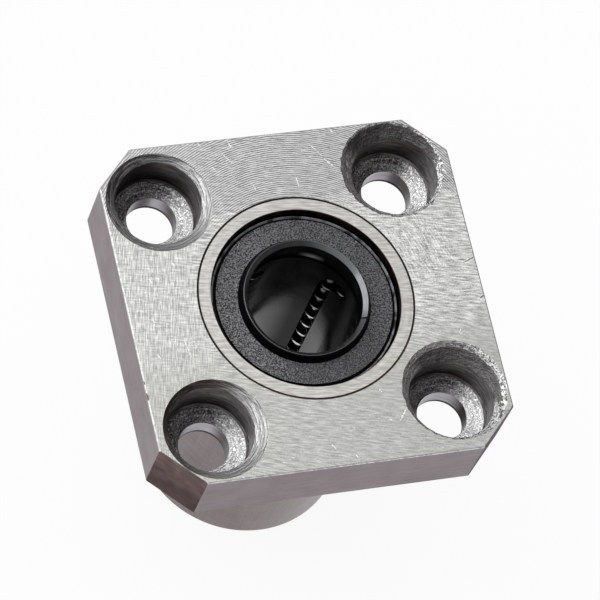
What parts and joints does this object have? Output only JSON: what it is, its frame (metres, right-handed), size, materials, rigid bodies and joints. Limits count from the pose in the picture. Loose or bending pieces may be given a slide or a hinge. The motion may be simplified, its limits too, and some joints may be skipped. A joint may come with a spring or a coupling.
{
  "type": "square flange linear bearing",
  "caption": "Recirculating-ball linear bearing with a square counterbored mounting flange, a steel barrel and lip seals round its shaft bore.",
  "frame": {"origin": "on the shaft axis, in the flange's rear face, which seats on the machine", "axes": "+Z along the shaft, out of the flange's front face; +X and +Y square to the flange's sides"},
  "size_m": [0.025, 0.025, 0.024],
  "materials": {
    "ground_steel": "ground, fine straight lines",
    "bearing_steel": "turned and ground",
    "cage_plastic": "moulded, glossy",
    "seal_rubber": "fine grain, smooth collar",
    "ball_steel": "polished"
  },
  "bodies": {
    "housing": {"flange": "ground_steel", "sleeve": "bearing_steel", "cage": "cage_plastic", "front_seal": "seal_rubber", "rear_seal": "seal_rubber"},
    "loaded_balls_1": {"loaded_balls_1": "ball_steel"},
    "front_turn_balls_1": {"front_turn_balls_1": "ball_steel"},
    "return_balls_1": {"return_balls_1": "ball_steel"},
    "rear_turn_balls_1": {"rear_turn_balls_1": "ball_steel"},
    "loaded_balls_2": {"loaded_balls_2": "ball_steel"},
    "front_turn_balls_2": {"front_turn_balls_2": "ball_steel"},
    "return_balls_2": {"return_balls_2": "ball_steel"},
    "rear_turn_balls_2": {"rear_turn_balls_2": "ball_steel"},
    "loaded_balls_3": {"loaded_balls_3": "ball_steel"},
    "front_turn_balls_3": {"front_turn_balls_3": "ball_steel"},
    "return_balls_3": {"return_balls_3": "ball_steel"},
    "rear_turn_balls_3": {"rear_turn_balls_3": "ball_steel"},
    "loaded_balls_4": {"loaded_balls_4": "ball_steel"},
    "front_turn_balls_4": {"front_turn_balls_4": "ball_steel"},
    "return_balls_4": {"return_balls_4": "ball_steel"},
    "rear_turn_balls_4": {"rear_turn_balls_4": "ball_steel"}
  },
  "joints": [
    {"name": "loaded_row_1", "type": "slide", "parent": "housing", "child": "loaded_balls_1", "axis": [0, 0, 1], "range_m": [-0.00055, 0.00055]},
    {"name": "return_row_1", "type": "slide", "parent": "housing", "child": "return_balls_1", "axis": [0, 0, 1], "range_m": [-0.00055, 0.00055]},
    {"name": "front_turn_1", "type": "hinge", "parent": "housing", "child": "front_turn_balls_1", "pos_m": [0.00429, 0.0021, -0.0004], "axis": [0.8117, 0.5841, 0], "range_deg": [-22.56, 22.56]},
    {"name": "rear_turn_1", "type": "hinge", "parent": "housing", "child": "rear_turn_balls_1", "pos_m": [0.00429, 0.0021, -0.0136], "axis": [0.8117, 0.5841, 0], "range_deg": [-22.56, 22.56]},
    {"name": "loaded_row_2", "type": "slide", "parent": "housing", "child": "loaded_balls_2", "axis": [0, 0, 1], "range_m": [-0.00055, 0.00055]},
    {"name": "return_row_2", "type": "slide", "parent": "housing", "child": "return_balls_2", "axis": [0, 0, 1], "range_m": [-0.00055, 0.00055]},
    {"name": "front_turn_2", "type": "hinge", "parent": "housing", "child": "front_turn_balls_2", "pos_m": [-0.0021, 0.00429, -0.0004], "axis": [-0.5841, 0.8117, 0], "range_deg": [-22.56, 22.56]},
    {"name": "rear_turn_2", "type": "hinge", "parent": "housing", "child": "rear_turn_balls_2", "pos_m": [-0.0021, 0.00429, -0.0136], "axis": [-0.5841, 0.8117, 0], "range_deg": [-22.56, 22.56]},
    {"name": "loaded_row_3", "type": "slide", "parent": "housing", "child": "loaded_balls_3", "axis": [0, 0, 1], "range_m": [-0.00055, 0.00055]},
    {"name": "return_row_3", "type": "slide", "parent": "housing", "child": "return_balls_3", "axis": [0, 0, 1], "range_m": [-0.00055, 0.00055]},
    {"name": "front_turn_3", "type": "hinge", "parent": "housing", "child": "front_turn_balls_3", "pos_m": [-0.00429, -0.0021, -0.0004], "axis": [-0.8117, -0.5841, 0], "range_deg": [-22.56, 22.56]},
    {"name": "rear_turn_3", "type": "hinge", "parent": "housing", "child": "rear_turn_balls_3", "pos_m": [-0.00429, -0.0021, -0.0136], "axis": [-0.8117, -0.5841, 0], "range_deg": [-22.56, 22.56]},
    {"name": "loaded_row_4", "type": "slide", "parent": "housing", "child": "loaded_balls_4", "axis": [0, 0, 1], "range_m": [-0.00055, 0.00055]},
    {"name": "return_row_4", "type": "slide", "parent": "housing", "child": "return_balls_4", "axis": [0, 0, 1], "range_m": [-0.00055, 0.00055]},
    {"name": "front_turn_4", "type": "hinge", "parent": "housing", "child": "front_turn_balls_4", "pos_m": [0.0021, -0.00429, -0.0004], "axis": [0.5841, -0.8117, 0], "range_deg": [-22.56, 22.56]},
    {"name": "rear_turn_4", "type": "hinge", "parent": "housing", "child": "rear_turn_balls_4", "pos_m": [0.0021, -0.00429, -0.0136], "axis": [0.5841, -0.8117, 0], "range_deg": [-22.56, 22.56]}
  ],
  "couplings": [
    {"joint": "front_turn_1", "follows": "loaded_row_1", "rad_per_m": 714.29},
    {"joint": "rear_turn_1", "follows": "loaded_row_1", "rad_per_m": 714.29},
    {"joint": "return_row_1", "follows": "loaded_row_1", "ratio": -1},
    {"joint": "front_turn_2", "follows": "loaded_row_2", "rad_per_m": 714.29},
    {"joint": "rear_turn_2", "follows": "loaded_row_2", "rad_per_m": 714.29},
    {"joint": "return_row_2", "follows": "loaded_row_2", "ratio": -1},
    {"joint": "front_turn_3", "follows": "loaded_row_3", "rad_per_m": 714.29},
    {"joint": "rear_turn_3", "follows": "loaded_row_3", "rad_per_m": 714.29},
    {"joint": "return_row_3", "follows": "loaded_row_3", "ratio": -1},
    {"joint": "front_turn_4", "follows": "loaded_row_4", "rad_per_m": 714.29},
    {"joint": "rear_turn_4", "follows": "loaded_row_4", "rad_per_m": 714.29},
    {"joint": "return_row_4", "follows": "loaded_row_4", "ratio": -1}
  ]
}
